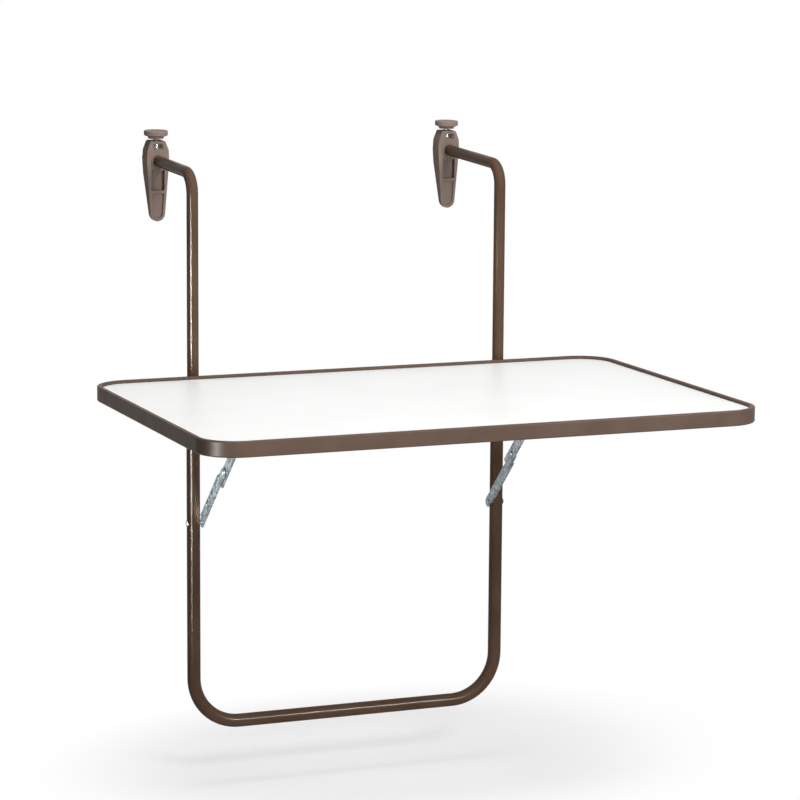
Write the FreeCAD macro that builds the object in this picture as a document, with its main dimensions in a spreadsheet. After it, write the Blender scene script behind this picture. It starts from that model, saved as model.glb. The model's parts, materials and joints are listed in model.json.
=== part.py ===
import FreeCAD, Part
import math
import os

import Sketcher
from FreeCAD import Placement, Rotation, Vector

# Balcony hanging table: a rimmed board hinged to a U-shaped tube frame, which hangs on two
# hanger tubes bent back over a railing. Millimetres, +Z up, +X to the right, +Y to the rear.
# Origin: midway between the two corners where the hanger uprights' axes meet the arms' axes.

os.makedirs("parts", exist_ok=True)
doc = FreeCAD.newDocument("balcony_table")

SIDES = ("left", "right")

# Distances below which two places count as the same one, in mm.
SAME = 0.01
SAME_ON_SLOPE = 0.05
SAMPLES = 5

DIMENSIONS = [
    ("table_length", 900, "table top, left to right"),
    ("table_depth", 600, "table top, front to rear"),
    ("corner_radius", 60, "outer corner of the rim in plan"),
    ("rim_lip_width", 8, "rim lip over the board"),
    ("rim_lip_height", 5, "rim lip above the board"),
    ("rim_wall", 3.5, "rim wall outside the board's edge"),
    ("rim_bottom_lip", 3, "rim lip under the board"),
    ("rim_edge_radius", 2.2, "rounding of the rim's outer edges"),
    ("board_thickness", 16, "table board"),
    ("table_drop", 324, "arm corner down to the rim's top"),
    ("table_setback", 15, "leg axis forward to the rim's rear face"),
    ("leg_spacing", 538, "between the leg axes"),
    ("leg_radius", 11, "U-frame tube, outside"),
    ("leg_wall", 1.2, "U-frame tube wall"),
    ("leg_top_gap", 11, "rim top down to the leg's open end"),
    ("frame_drop", 583, "rim top down to the bottom run's axis"),
    ("frame_bend_radius", 78, "U-frame bends, at the axis"),
    ("hanger_radius", 9.5, "hanger tube, outside"),
    ("hanger_wall", 1.5, "hanger tube wall"),
    ("hanger_insert", 185, "hanger tube's length inside the leg"),
    ("arm_bend_radius", 34, "hanger tube bend, at the axis"),
    ("arm_rise", 2, "arm's rise to the rear, in degrees"),
    ("arm_reach", 236, "corner to the arm tube's open end"),
    ("arm_cap_dome", 2.5, "end cap beyond the arm's open end"),
    ("arm_cap_round", 2.2, "rounding of the end cap"),
    ("arm_cap_plug", 14, "end cap inside the arm"),
    ("bush_skirt", 12, "leg bush below the leg's open end"),
    ("bush_crown", 4, "leg bush above the leg's open end"),
    ("bush_wall", 1.6, "leg bush outside the leg"),
    ("sliding_gap", 0.08, "radial play of a sliding fit"),
    ("snug_gap", 0.02, "play of a fit that does not move"),
    ("pivot_gap", 0.05, "radial play of a pivot"),
    ("seat_gap", 0.3, "play between parts that pass each other"),
    ("pivot_drop", 37, "rim top down to the hinge axis"),
    ("stud_collar_radius", 7, "hinge stud collar"),
    ("stud_radius", 5, "hinge stud shoulder"),
    ("stud_thread_radius", 4, "hinge stud thread"),
    ("stud_end", 8, "hinge stud past the ear"),
    ("hinge_nut_flats", 13, "hinge nut across its flats"),
    ("hinge_nut_height", 6.5, "hinge nut"),
    ("washer_thickness", 1.6, "hinge washer"),
    ("rail_offset", 23, "leg axis inward to the rail's upright flange"),
    ("rail_thickness", 2.5, "rail sheet"),
    ("rail_flange_width", 32, "rail flange under the board"),
    ("rail_flange_height", 28, "rail upright flange"),
    ("rail_reach", 450, "leg axis forward to the rail's front end"),
    ("ear_radius", 12, "rail ear about the hinge axis"),
    ("ear_notch_gap", 1.0, "rail ear below the rim"),
    ("screw_head_radius", 4, "rail screw head"),
    ("screw_head_height", 2.4, "rail screw head"),
    ("screw_radius", 2, "rail screw shank"),
    ("screw_length", 15, "rail screw shank"),
    ("screw_inset", 40, "rail's ends to the outer screws"),
    ("strut_drop", 208, "hinge axis down to the strut bolt"),
    ("strut_reach", 218, "hinge axis forward to the strut pin"),
    ("link_gap", 0.5, "leg to the lower link"),
    ("link_radius", 8.5, "lower link's half width and end radius"),
    ("link_sheet", 1.5, "lower link sheet"),
    ("link_depth", 4.2, "lower link over its folded edges"),
    ("link_edge_low", 9, "strut bolt up to the folded edges"),
    ("link_edge_high", 17, "folded edges up to the knee rivet"),
    ("bar_radius", 10, "upper link's half width and end radius"),
    ("bar_thickness", 3, "upper link"),
    ("bar_tail", 30, "upper link past the knee rivet"),
    ("bar_corner", 1.2, "corners of the upper link's cut end"),
    ("rivet_radius", 3, "knee rivet shank"),
    ("rivet_head_radius", 5, "knee rivet head"),
    ("rivet_head_height", 1.8, "knee rivet head"),
    ("rivet_head_round", 0.9, "rounding of the knee rivet's heads"),
    ("pin_radius", 4, "strut pin on the rail"),
    ("pin_collar_radius", 6, "strut pin collar"),
    ("pin_head_height", 2.5, "strut pin head behind the rail"),
    ("pin_head_round", 1.25, "rounding of the strut pin's head"),
    ("bolt_radius", 3, "strut bolt through the leg"),
    ("bolt_head_radius", 5.2, "strut bolt head"),
    ("bolt_head_height", 1.1, "strut bolt head"),
    ("bolt_end_radius", 5.5, "strut bolt's riveted end"),
    ("bolt_end_height", 1.1, "strut bolt's riveted end, which the folded upper link passes"),
    ("bolt_round", 0.9, "rounding of the strut bolt's ends"),
    ("clamp_drop", 40, "leg's open end down to the clamp bolt"),
    ("clamp_boss_radius", 7, "clamp boss on the leg's rear"),
    ("clamp_boss_end", 20, "leg axis to the clamp boss's face"),
    ("clamp_bolt_radius", 3, "clamp bolt shank"),
    ("clamp_head_flats", 10, "clamp bolt head across its flats"),
    ("clamp_head_height", 4, "clamp bolt head"),
    ("hook_left_place", 178, "arm corner to the left hook's front face"),
    ("hook_right_place", 219, "arm corner to the right hook's front face"),
    ("hook_radius", 19.6, "hook's widest stretch, about the arm"),
    ("hook_rise", 32.8, "arm axis up to the hook's top"),
    ("hook_shoulder_half", 18.9, "half of the hook's width at its shoulders"),
    ("hook_shoulder_rise", 14, "arm axis up to the shoulders"),
    ("hook_shoulder_radius", 16, "hook's shoulders"),
    ("hook_top_half", 13.5, "half of the hook's top width"),
    ("hook_top_radius", 3, "hook's top corners"),
    ("hook_tip_drop", 87.5, "arm axis down to the tip's centre"),
    ("hook_tip_radius", 13, "hook's tip"),
    ("hook_depth", 27, "hook, front to rear, at the arm"),
    ("hook_slope_drop", 22, "arm axis down to where the rear slopes"),
    ("hook_tip_depth", 8, "hook, front to rear, at the tip's end"),
    ("hook_edge_radius", 1.6, "rounding of the hook's edges"),
    ("hook_disc_radius", 17.8, "solid disc about the arm, the upper pocket's curved top"),
    ("collar_radius", 12, "collar about the arm"),
    ("collar_height", 2, "collar proud of the hook's front"),
    ("window_width", 17, "window for the nut"),
    ("window_height", 8.6, "window for the nut"),
    ("window_depth", 3.2, "window for the nut"),
    ("pocket_half", 11.2, "half of the upper pocket's width"),
    ("pocket_taper", 0.7, "lower pocket's top narrower on each side"),
    ("pocket_corner", 1.5, "corners of the tongue's pockets"),
    ("pocket_top", 12, "arm axis down to the upper pocket, behind the disc"),
    ("pocket_rib_top", 49.5, "arm axis down to the rib"),
    ("pocket_rib", 4.4, "rib between the pockets"),
    ("pocket_floor", 10, "upper pocket's depth"),
    ("slot_floor", 4.2, "lower pocket's depth"),
    ("slot_radius", 8.2, "lower pocket's round end"),
    ("spindle_place", 13.5, "hook's front face back to the spindle axis"),
    ("spindle_radius", 3.95, "spindle thread"),
    ("thread_gap", 0.07, "radial play of the spindle in its nut"),
    ("nut_flats", 13, "captive nut across its flats"),
    ("nut_height", 6.5, "captive nut"),
    ("nut_floor", 20.4, "arm axis up to the captive nut"),
    ("nut_play", 0.15, "play about the captive nut"),
    ("pad_radius", 5.6, "thrust pad"),
    ("pad_height", 4, "thrust pad"),
    ("pad_chamber", 19.2, "arm axis up to the thrust pad chamber's roof"),
    ("knob_neck", 3.4, "hook's top up to the knob"),
    ("knob_collar", 1.6, "knob's collar about the spindle"),
    ("knob_collar_radius", 4.9, "knob's collar about the spindle"),
    ("knob_radius", 19.8, "knob"),
    ("knob_edge_radius", 1.4, "rounding of the knob's band"),
    ("knob_rim", 7.6, "knob's outer band"),
    ("knob_hub_radius", 13, "knob's underside"),
    ("knob_hub", 2.6, "knob's hub below the cone"),
    ("knob_cone", 2.8, "knob's cone below the band"),
    ("knob_bore_depth", 9, "spindle's length inside the knob"),
]

sheet = doc.addObject("Spreadsheet::Sheet", "Sizes")
for row, (alias, number, meaning) in enumerate(DIMENSIONS, start=1):
    sheet.set("A%d" % row, meaning)
    sheet.set("B%d" % row, str(number))
    sheet.setAlias("B%d" % row, alias)
doc.recompute()

ALIASES = {entry[0] for entry in DIMENSIONS}


def bound(words):
    """Writes the sheet's name before each of its aliases in an expression."""
    tokens = ["Sizes." + token if token in ALIASES else token for token in words.split()]
    text = " ".join(tokens)
    for function in ("sqrt", "tan", "sin", "cos"):
        text = text.replace(function + " (", function + "(")
    return text


def value(words):
    """The number that an expression has now."""
    result = sheet.evalExpression(bound(words))
    return float(getattr(result, "Value", result))


# Places that several pieces share, as expressions of the sheet's sizes.
TOP = "( 0 - table_drop )"
RIM_HEIGHT = "( rim_lip_height + board_thickness + rim_bottom_lip )"
BOARD_TOP = "( 0 - table_drop - rim_lip_height )"
BOARD_UNDER = "( 0 - table_drop - rim_lip_height - board_thickness )"
RIM_UNDER = "( 0 - table_drop - rim_lip_height - board_thickness - rim_bottom_lip )"
HINGE = "( 0 - table_drop - pivot_drop )"
BOLT = "( 0 - table_drop - pivot_drop - strut_drop )"
LEG_TOP = "( 0 - table_drop - leg_top_gap )"
FRAME_LOW = "( 0 - table_drop - frame_drop )"
HANGER_LOW = "( 0 - table_drop - leg_top_gap - hanger_insert )"
BEND_RUN = "( arm_bend_radius * tan ( ( 90 - arm_rise ) / 2 ) )"
STRUT = "( sqrt ( strut_drop ^ 2 + strut_reach ^ 2 ) )"
LOWER_LINK = "( ( %s + strut_drop - strut_reach ) / 2 )" % STRUT
UPPER_LINK = "( ( %s - strut_drop + strut_reach ) / 2 )" % STRUT
KNEE_BACK = "( 0 - %s * strut_reach / %s )" % (LOWER_LINK, STRUT)
KNEE_UP = "( %s + %s * strut_drop / %s )" % (BOLT, LOWER_LINK, STRUT)
WEB = "( leg_radius + link_gap + link_depth - link_sheet )"
WEB_FACE = "( leg_radius + link_gap + link_depth )"
BAR = "( leg_radius + link_gap + link_depth + bolt_end_height + 2 * seat_gap )"
RAIL_FACE = "( rail_offset + rail_thickness )"
SCREW_SHARES = ["0", "1 / 3", "2 / 3", "1"]
SCREW_LINE = "( rail_offset + rail_flange_width / 2 )"
CLAMP = "( 0 - table_drop - leg_top_gap - clamp_drop )"
STRUT_TILT = "( atan ( strut_reach / strut_drop ) )"
SPINDLE = {"z": "0 - spindle_place"}
PAD_LOW = "( hanger_radius + seat_gap )"
PAD_TOP = "( %s + pad_height )" % PAD_LOW
KNOB_LOW = "( hook_rise + knob_neck )"
BORE_END = "( %s + knob_bore_depth )" % KNOB_LOW


def mirrored(side, inward):
    """X of a place that lies an expression's length inward of a leg's axis."""
    if side == "left":
        return "( 0 - leg_spacing / 2 + %s )" % inward
    return "( leg_spacing / 2 - %s )" % inward


def mirrored_in_place(side, inward):
    """X of a place inward of a leg's axis, for a body whose origin is on that axis."""
    return inward if side == "left" else "( 0 - %s )" % inward


def new_body(name):
    body = doc.addObject("PartDesign::Body", name)
    body.Label = name
    return body


def new_sketch(body, name, plane, shift=None):
    """A sketch on one of the body's own origin planes, shifted along the plane's axes."""
    sketch = body.newObject("Sketcher::SketchObject", name)
    role = plane + "_Plane"
    support = [item for item in body.Origin.OriginFeatures if item.Role == role][0]
    sketch.AttachmentSupport = [(support, "")]
    sketch.MapMode = "FlatFace"
    for axis, words in (shift or {}).items():
        sketch.setExpression("AttachmentOffset.Base." + axis, bound(words))
    return sketch


def bind_point(sketch, shape, corner, across, along):
    """Holds a point of a sketch at the expressions across and along; None is on the axis."""
    for kind, axis, words in (("DistanceX", -2, across), ("DistanceY", -1, along)):
        if words is None:
            sketch.addConstraint(Sketcher.Constraint("PointOnObject", shape, corner, axis))
            continue
        made = sketch.addConstraint(
            Sketcher.Constraint(kind, -1, 1, shape, corner, value(words))
        )
        sketch.setExpression("Constraints[%d]" % made, bound(words))


def bind_radius(sketch, shape, words):
    made = sketch.addConstraint(Sketcher.Constraint("Radius", shape, value(words)))
    sketch.setExpression("Constraints[%d]" % made, bound(words))


def number_of(words):
    return 0.0 if words is None else value(words)


def draw_circle(sketch, across, along, radius):
    centre = Vector(number_of(across), number_of(along), 0)
    shape = sketch.addGeometry(Part.Circle(centre, Vector(0, 0, 1), value(radius)), False)
    bind_point(sketch, shape, 3, across, along)
    bind_radius(sketch, shape, radius)


def draw_polygon(sketch, corners):
    """A closed outline of straight lines through (across, along) expressions."""
    places = [Vector(number_of(a), number_of(b), 0) for a, b in corners]
    count = len(places)
    lines = []
    for index in range(count):
        line = Part.LineSegment(places[index], places[(index + 1) % count])
        lines.append(sketch.addGeometry(line, False))
    for index in range(count):
        following = lines[(index + 1) % count]
        sketch.addConstraint(Sketcher.Constraint("Coincident", lines[index], 2, following, 1))
    for index, (across, along) in enumerate(corners):
        bind_point(sketch, lines[index], 1, across, along)


def draw_box(sketch, left, right, low, high):
    draw_polygon(sketch, [(left, low), (right, low), (right, high), (left, high)])


def belt_normals(rounds):
    """Outward normals of the lines of a belt about circles (x, y, radius), counter-clockwise."""
    normals = []
    for index, (x, y, radius) in enumerate(rounds):
        next_x, next_y, next_radius = rounds[(index + 1) % len(rounds)]
        run = math.hypot(next_x - x, next_y - y)
        ahead = Vector((next_x - x) / run, (next_y - y) / run, 0)
        outward = Vector(ahead.y, -ahead.x, 0)
        lean = (radius - next_radius) / run
        normals.append(ahead * lean + outward * math.sqrt(1 - lean * lean))
    return normals


def draw_belt(sketch, circles):
    """The outline of a belt about circles (across, along, radius), counter-clockwise."""
    rounds = [(number_of(a), number_of(b), value(r)) for a, b, r in circles]
    normals = belt_normals(rounds)
    count = len(rounds)
    arcs = []
    lines = []
    for index, (x, y, radius) in enumerate(rounds):
        start = math.atan2(normals[index - 1].y, normals[index - 1].x)
        end = math.atan2(normals[index].y, normals[index].x)
        while end <= start:
            end += 2 * math.pi
        circle = Part.Circle(Vector(x, y, 0), Vector(0, 0, 1), radius)
        arcs.append(sketch.addGeometry(Part.ArcOfCircle(circle, start, end), False))
    for index, (x, y, radius) in enumerate(rounds):
        next_x, next_y, next_radius = rounds[(index + 1) % count]
        start = Vector(x, y, 0) + normals[index] * radius
        end = Vector(next_x, next_y, 0) + normals[index] * next_radius
        lines.append(sketch.addGeometry(Part.LineSegment(start, end), False))
    for index in range(count):
        following = arcs[(index + 1) % count]
        sketch.addConstraint(Sketcher.Constraint("Tangent", arcs[index], 2, lines[index], 1))
        sketch.addConstraint(Sketcher.Constraint("Tangent", lines[index], 2, following, 1))
    for index, (across, along, radius) in enumerate(circles):
        bind_point(sketch, arcs[index], 3, across, along)
        bind_radius(sketch, arcs[index], radius)


def pad(body, sketch, length, backward=False, both_ways=False):
    feature = body.newObject("PartDesign::Pad", sketch.Name + "_pad")
    feature.Profile = sketch
    feature.setExpression("Length", bound(length))
    feature.Reversed = backward
    feature.SideType = "Symmetric" if both_ways else "One side"
    sketch.Visibility = False
    return feature


def pocket(body, sketch, length=None, backward=False, both_ways=False):
    """Cuts a sketch into the body and checks that the cut takes something away."""
    doc.recompute()
    before = body.Shape.Volume
    feature = body.newObject("PartDesign::Pocket", sketch.Name + "_cut")
    feature.Profile = sketch
    feature.Reversed = backward
    feature.SideType = "Symmetric" if both_ways else "One side"
    if length is None:
        feature.Type = "ThroughAll"
    else:
        feature.setExpression("Length", bound(length))
    doc.recompute()
    if not body.Shape.Volume < before:
        raise ValueError(feature.Name + " cuts nothing")
    return feature


def revolve(body, sketch):
    """Turns a sketch about its own vertical axis."""
    feature = body.newObject("PartDesign::Revolution", sketch.Name + "_turn")
    feature.Profile = sketch
    feature.ReferenceAxis = (sketch, ["V_Axis"])
    feature.Angle = 360
    return feature


def round_edges(body, feature, radius, chosen):
    """Rounds the edges of a feature that the function chosen picks."""
    doc.recompute()
    names = []
    for index, edge in enumerate(feature.Shape.Edges, start=1):
        if chosen(edge):
            names.append("Edge%d" % index)
    fillet = body.newObject("PartDesign::Fillet", feature.Name + "_round")
    fillet.Base = (feature, names)
    fillet.setExpression("Radius", bound(radius))
    doc.recompute()
    return fillet


def lies_at(edge, axis, place):
    """Whether a whole edge lies in the plane where an axis (0, 1 or 2) has a value."""
    return all(abs(point[axis] - place) < SAME for point in edge.discretize(SAMPLES))


def arc_between(first, last, heading, radius):
    """The arc of a radius that leaves first along heading and ends at last."""
    chord = last - first
    inward = chord - heading * chord.dot(heading)
    inward.normalize()
    centre = first + inward * radius
    outward = (first + last) / 2 - centre
    outward.normalize()
    return Part.Arc(first, centre + outward * radius, last)


def join(sketch, arc, place, line, corner):
    """Ties the end of an arc that lies at a place to the end of a line."""
    nearer = 1 if (sketch.getPoint(arc, 1) - place).Length < SAME else 2
    sketch.addConstraint(Sketcher.Constraint("Coincident", arc, nearer, line, corner))


def draw_route(sketch, runs, radius):
    """Straight runs, each a pair of (across, along) ends, joined by arcs of one radius."""
    last_line = None
    for start, end in runs:
        first = Vector(number_of(start[0]), number_of(start[1]), 0)
        last = Vector(number_of(end[0]), number_of(end[1]), 0)
        if last_line is not None:
            tip = sketch.getPoint(last_line, 2)
            heading = (tip - sketch.getPoint(last_line, 1)).normalize()
            arc = sketch.addGeometry(arc_between(tip, first, heading, value(radius)), False)
        line = sketch.addGeometry(Part.LineSegment(first, last), False)
        bind_point(sketch, line, 1, *start)
        bind_point(sketch, line, 2, *end)
        if last_line is not None:
            join(sketch, arc, tip, last_line, 2)
            join(sketch, arc, first, line, 1)
            bind_radius(sketch, arc, radius)
        last_line = line


def sweep_tube(body, route, ring_shift, radius, wall):
    """A hollow tube along a route sketch, from a ring sketch at the route's start."""
    ring = new_sketch(body, body.Name + "_ring", "XY", ring_shift)
    draw_circle(ring, None, None, radius)
    draw_circle(ring, None, None, "( %s - %s )" % (radius, wall))
    doc.recompute()
    sweep = body.newObject("PartDesign::AdditivePipe", body.Name + "_sweep")
    sweep.Profile = ring
    sweep.Spine = (route, ["Edge%d" % (index + 1) for index in range(route.GeometryCount)])
    doc.recompute()
    route.Visibility = False
    return sweep


def place_body(body, across, back, up, turn=None, axis=Vector(1, 0, 0)):
    """Puts a body at expressions for X, Y and Z, turned about an axis by an expression."""
    if turn is not None:
        body.Placement = Placement(Vector(), Rotation(axis, value(turn)))
        body.setExpression("Placement.Rotation.Angle", bound(turn))
    for name, words in (("x", across), ("y", back), ("z", up)):
        if words is not None:
            body.setExpression("Placement.Base." + name, bound(words))


def turned(name, profile, shift=None):
    """A lathe-turned body: a profile of (radius, height) corners about its own Z axis."""
    body = new_body(name)
    sketch = new_sketch(body, name + "_profile", "XZ", shift)
    draw_polygon(sketch, profile)
    revolve(body, sketch)
    doc.recompute()
    return body


def point_inward(body, side, inward, back, up):
    """Puts a body on a leg's side so that its own Z axis runs inward, along X."""
    place_body(body, mirrored(side, inward), back, up)
    ahead = Vector(1, 0, 0) if side == "left" else Vector(-1, 0, 0)
    base = body.Placement.Base
    body.Placement = Placement(base, Rotation(Vector(0, 0, 1), ahead))


def rings(radius_inside, radius_outside, low, high):
    """The profile of a plain ring, or of a plain disc where the inside is None."""
    return [(radius_inside, low), (radius_outside, low), (radius_outside, high), (radius_inside, high)]


def draw_hexagon(sketch, flats):
    """A hexagon of a width across flats about the sketch's origin, corners up and down."""
    half = "( %s / 2 )" % flats
    far = "( %s / sqrt ( 3 ) )" % flats
    near = "( %s / sqrt ( 12 ) )" % flats
    draw_polygon(sketch, [
        (half, near),
        (None, far),
        ("0 - " + half, near),
        ("0 - " + half, "0 - " + near),
        (None, "0 - " + far),
        (half, "0 - " + near),
    ])


def joined(name, parts):
    """One node of several separate solids."""
    group = doc.addObject("Part::Compound", name)
    group.Label = name
    group.Links = parts
    return group


def table_corners(inset):
    """The belt circles of the table's plan, inset from its edge."""
    across = "( table_length / 2 - corner_radius )"
    rear = "( 0 - table_setback - corner_radius )"
    front = "( 0 - table_setback - table_depth + corner_radius )"
    rounding = "( corner_radius - %s )" % inset
    places = [(across, front), (across, rear), ("0 - " + across, rear), ("0 - " + across, front)]
    return [(x, y, rounding) for x, y in places]


def screw_rows():
    """Y places of the rail screws, from the rear to the front."""
    rear = "( 0 - table_setback - rim_lip_width - screw_inset )"
    front = "( 0 - rail_reach + screw_inset )"
    return ["( %s + ( %s - %s ) * %s )" % (rear, front, rear, share) for share in SCREW_SHARES]


def make_board():
    body = new_body("tabletop_board")
    plan = new_sketch(body, "board_plan", "XY", {"z": BOARD_UNDER})
    draw_belt(plan, table_corners("rim_wall"))
    pad(body, plan, "board_thickness")
    holes = new_sketch(body, "board_screw_holes", "XY", {"z": BOARD_UNDER})
    for side in SIDES:
        for row in screw_rows():
            draw_circle(holes, mirrored(side, SCREW_LINE), row, "screw_radius + pivot_gap")
    pocket(body, holes, "screw_length - rail_thickness", backward=True)
    return body


def make_rim():
    body = new_body("edge_rim")
    plan = new_sketch(body, "rim_plan", "XY", {"z": RIM_UNDER})
    draw_belt(plan, table_corners("0"))
    pad(body, plan, RIM_HEIGHT)
    upper = new_sketch(body, "rim_upper_opening", "XY", {"z": TOP})
    draw_belt(upper, table_corners("rim_lip_width"))
    pocket(body, upper, RIM_HEIGHT)
    groove = new_sketch(body, "rim_groove", "XY", {"z": BOARD_TOP})
    draw_belt(groove, table_corners("rim_wall"))
    last = pocket(body, groove, "board_thickness")
    top = value(TOP)
    under = value(RIM_UNDER)
    round_edges(body, last, "rim_edge_radius", lambda edge: (
        lies_at(edge, 2, top) or (lies_at(edge, 2, under) and is_outer_edge(edge))))
    return body


def is_outer_edge(edge):
    """Whether an edge of the rim runs along the table's outside."""
    middle = edge.valueAt((edge.FirstParameter + edge.LastParameter) / 2)
    centre = value("0 - table_setback - table_depth / 2")
    across = abs(middle.x) - value("table_length / 2 - corner_radius")
    along = abs(middle.y - centre) - value("table_depth / 2 - corner_radius")
    return math.hypot(max(across, 0), max(along, 0)) > value("corner_radius - rim_wall")


def make_rail(side):
    name = "support_rail_" + side
    body = new_body(name)
    backward = side == "right"
    upright = new_sketch(body, name + "_upright", "YZ", {"z": mirrored(side, "rail_offset")})
    corner = "rail_thickness"
    rear = "( 0 - table_setback - rim_lip_width - ear_notch_gap - %s )" % corner
    top = "( %s - %s )" % (BOARD_UNDER, corner)
    low_radius = "( 2 * rail_thickness )"
    draw_belt(upright, [
        (None, HINGE, "ear_radius"),
        (rear, top, corner),
        ("( 0 - rail_reach + %s )" % corner, top, corner),
        (
            "( 0 - rail_reach + %s )" % low_radius,
            "( %s - rail_flange_height + %s )" % (BOARD_UNDER, low_radius),
            low_radius,
        ),
    ])
    pad(body, upright, "rail_thickness", backward=backward)
    notch = new_sketch(body, name + "_notch", "YZ", {"z": mirrored(side, "rail_offset")})
    notch_front = "( 0 - table_setback - rim_lip_width - ear_notch_gap )"
    draw_box(notch, notch_front, "ear_radius", "( %s - ear_notch_gap )" % RIM_UNDER, TOP)
    pocket(body, notch, both_ways=True)
    flange = new_sketch(body, name + "_flange", "XY", {"z": "( %s - rail_thickness )" % BOARD_UNDER})
    web_edge = mirrored(side, "rail_offset")
    flange_edge = mirrored(side, "( rail_offset + rail_flange_width )")
    ends = sorted([web_edge, flange_edge], key=value)
    draw_box(flange, ends[0], ends[1], "( 0 - rail_reach + rail_thickness )", notch_front)
    pad(body, flange, "rail_thickness")
    holes = new_sketch(body, name + "_pivots", "YZ", {"z": mirrored(side, "rail_offset")})
    draw_circle(holes, None, HINGE, "stud_radius + pivot_gap")
    draw_circle(holes, "0 - strut_reach", HINGE, "pin_radius + snug_gap")
    pocket(body, holes, both_ways=True)
    screws = new_sketch(body, name + "_screw_holes", "XY", {"z": BOARD_UNDER})
    for row in screw_rows():
        draw_circle(screws, mirrored(side, SCREW_LINE), row, "screw_radius + pivot_gap")
    pocket(body, screws)
    return body


def make_screws():
    under = "( %s - rail_thickness )" % BOARD_UNDER
    parts = []
    for side in SIDES:
        for number, row in enumerate(screw_rows(), start=1):
            screw = turned("rail_screw_%s_%d" % (side, number), [
                (None, "0 - screw_head_height"),
                ("screw_head_radius", "0 - screw_head_height"),
                ("screw_head_radius", None),
                ("screw_radius", None),
                ("screw_radius", "screw_length"),
                (None, "screw_length"),
            ])
            place_body(screw, mirrored(side, SCREW_LINE), row, under)
            parts.append(screw)
    return joined("rail_screws", parts)


def make_frame():
    body = new_body("u_frame_tube")
    route = new_sketch(body, "frame_route", "XZ")
    half = "( leg_spacing / 2 )"
    bend_top = "( %s + frame_bend_radius )" % FRAME_LOW
    bend_side = "( leg_spacing / 2 - frame_bend_radius )"
    draw_route(route, [
        (("0 - " + half, LEG_TOP), ("0 - " + half, bend_top)),
        (("0 - " + bend_side, FRAME_LOW), (bend_side, FRAME_LOW)),
        ((half, bend_top), (half, LEG_TOP)),
    ], "frame_bend_radius")
    sweep_tube(body, route, {"x": "0 - " + half, "z": LEG_TOP}, "leg_radius", "leg_wall")
    bolts = new_sketch(body, "frame_bolt_holes", "YZ")
    draw_circle(bolts, None, BOLT, "bolt_radius + snug_gap")
    pocket(body, bolts, both_ways=True)
    clamps = new_sketch(body, "frame_clamp_holes", "XZ")
    for side in SIDES:
        draw_circle(clamps, mirrored(side, "0"), CLAMP, "clamp_bolt_radius + snug_gap")
    pocket(body, clamps, "leg_radius + leg_wall")
    return body


def make_bush(side):
    body = turned("leg_bush_" + side, [
        ("hanger_radius + sliding_gap", "bush_crown"),
        ("hanger_radius + sliding_gap", None),
        ("leg_radius + snug_gap", None),
        ("leg_radius + snug_gap", "0 - bush_skirt"),
        ("leg_radius + bush_wall", "0 - bush_skirt"),
        ("leg_radius + bush_wall", "bush_crown"),
    ])
    place_body(body, mirrored(side, "0"), None, LEG_TOP)
    return body


def saddle(body, plane):
    """Cuts the leg's outside from a body whose origin is on the leg's axis."""
    cut = new_sketch(body, body.Name + "_saddle", plane)
    draw_circle(cut, None, None, "leg_radius + snug_gap")
    pocket(body, cut, both_ways=True)


def make_stud(side):
    collar_end = "( rail_offset - seat_gap )"
    shoulder_end = "( %s + seat_gap )" % RAIL_FACE
    thread_end = "( %s + stud_end )" % RAIL_FACE
    body = turned("hinge_stud_" + side, [
        (None, None),
        ("stud_collar_radius", None),
        ("stud_collar_radius", collar_end),
        ("stud_radius", collar_end),
        ("stud_radius", shoulder_end),
        ("stud_thread_radius", shoulder_end),
        ("stud_thread_radius", thread_end),
        (None, thread_end),
    ])
    saddle(body, "YZ")
    point_inward(body, side, "0", None, HINGE)
    return body


def make_washers():
    parts = []
    for side in SIDES:
        washer = turned("hinge_washer_" + side, rings(
            "stud_thread_radius + snug_gap", "stud_collar_radius + seat_gap", None, "washer_thickness"))
        point_inward(washer, side, "( %s + seat_gap )" % RAIL_FACE, None, HINGE)
        parts.append(washer)
    return joined("hinge_washers", parts)


def hex_nut(name, flats, height, bore):
    body = new_body(name)
    plan = new_sketch(body, name + "_plan", "XY")
    draw_hexagon(plan, flats)
    draw_circle(plan, None, None, bore)
    pad(body, plan, height)
    doc.recompute()
    return body


def make_hinge_nuts():
    parts = []
    for side in SIDES:
        nut = hex_nut("hinge_nut_" + side, "hinge_nut_flats", "hinge_nut_height",
                      "stud_thread_radius + snug_gap")
        point_inward(nut, side, "( %s + seat_gap + washer_thickness )" % RAIL_FACE, None, HINGE)
        parts.append(nut)
    return joined("hinge_nuts", parts)


def make_strut_bolt(side):
    head = "( 0 - leg_radius - snug_gap )"
    head_end = "( 0 - leg_radius - snug_gap - bolt_head_height )"
    rivet = "( %s + seat_gap )" % WEB_FACE
    rivet_end = "( %s + seat_gap + bolt_end_height )" % WEB_FACE
    body = turned("strut_bolt_" + side, [
        (None, head_end),
        ("bolt_head_radius", head_end),
        ("bolt_head_radius", head),
        ("bolt_radius", head),
        ("bolt_radius", rivet),
        ("bolt_end_radius", rivet),
        ("bolt_end_radius", rivet_end),
        (None, rivet_end),
    ])
    ends = (value(head_end), value(rivet_end))
    round_edges(body, body.Tip, "bolt_round",
                lambda edge: any(lies_at(edge, 2, end) for end in ends))
    point_inward(body, side, "0", None, BOLT)
    return body


def make_clamp_boss(side):
    body = turned("clamp_boss_" + side, rings(
        "clamp_bolt_radius + snug_gap", "clamp_boss_radius", None, "clamp_boss_end"))
    saddle(body, "XZ")
    place_body(body, mirrored(side, "0"), None, CLAMP, "0 - 90")
    return body


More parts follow.
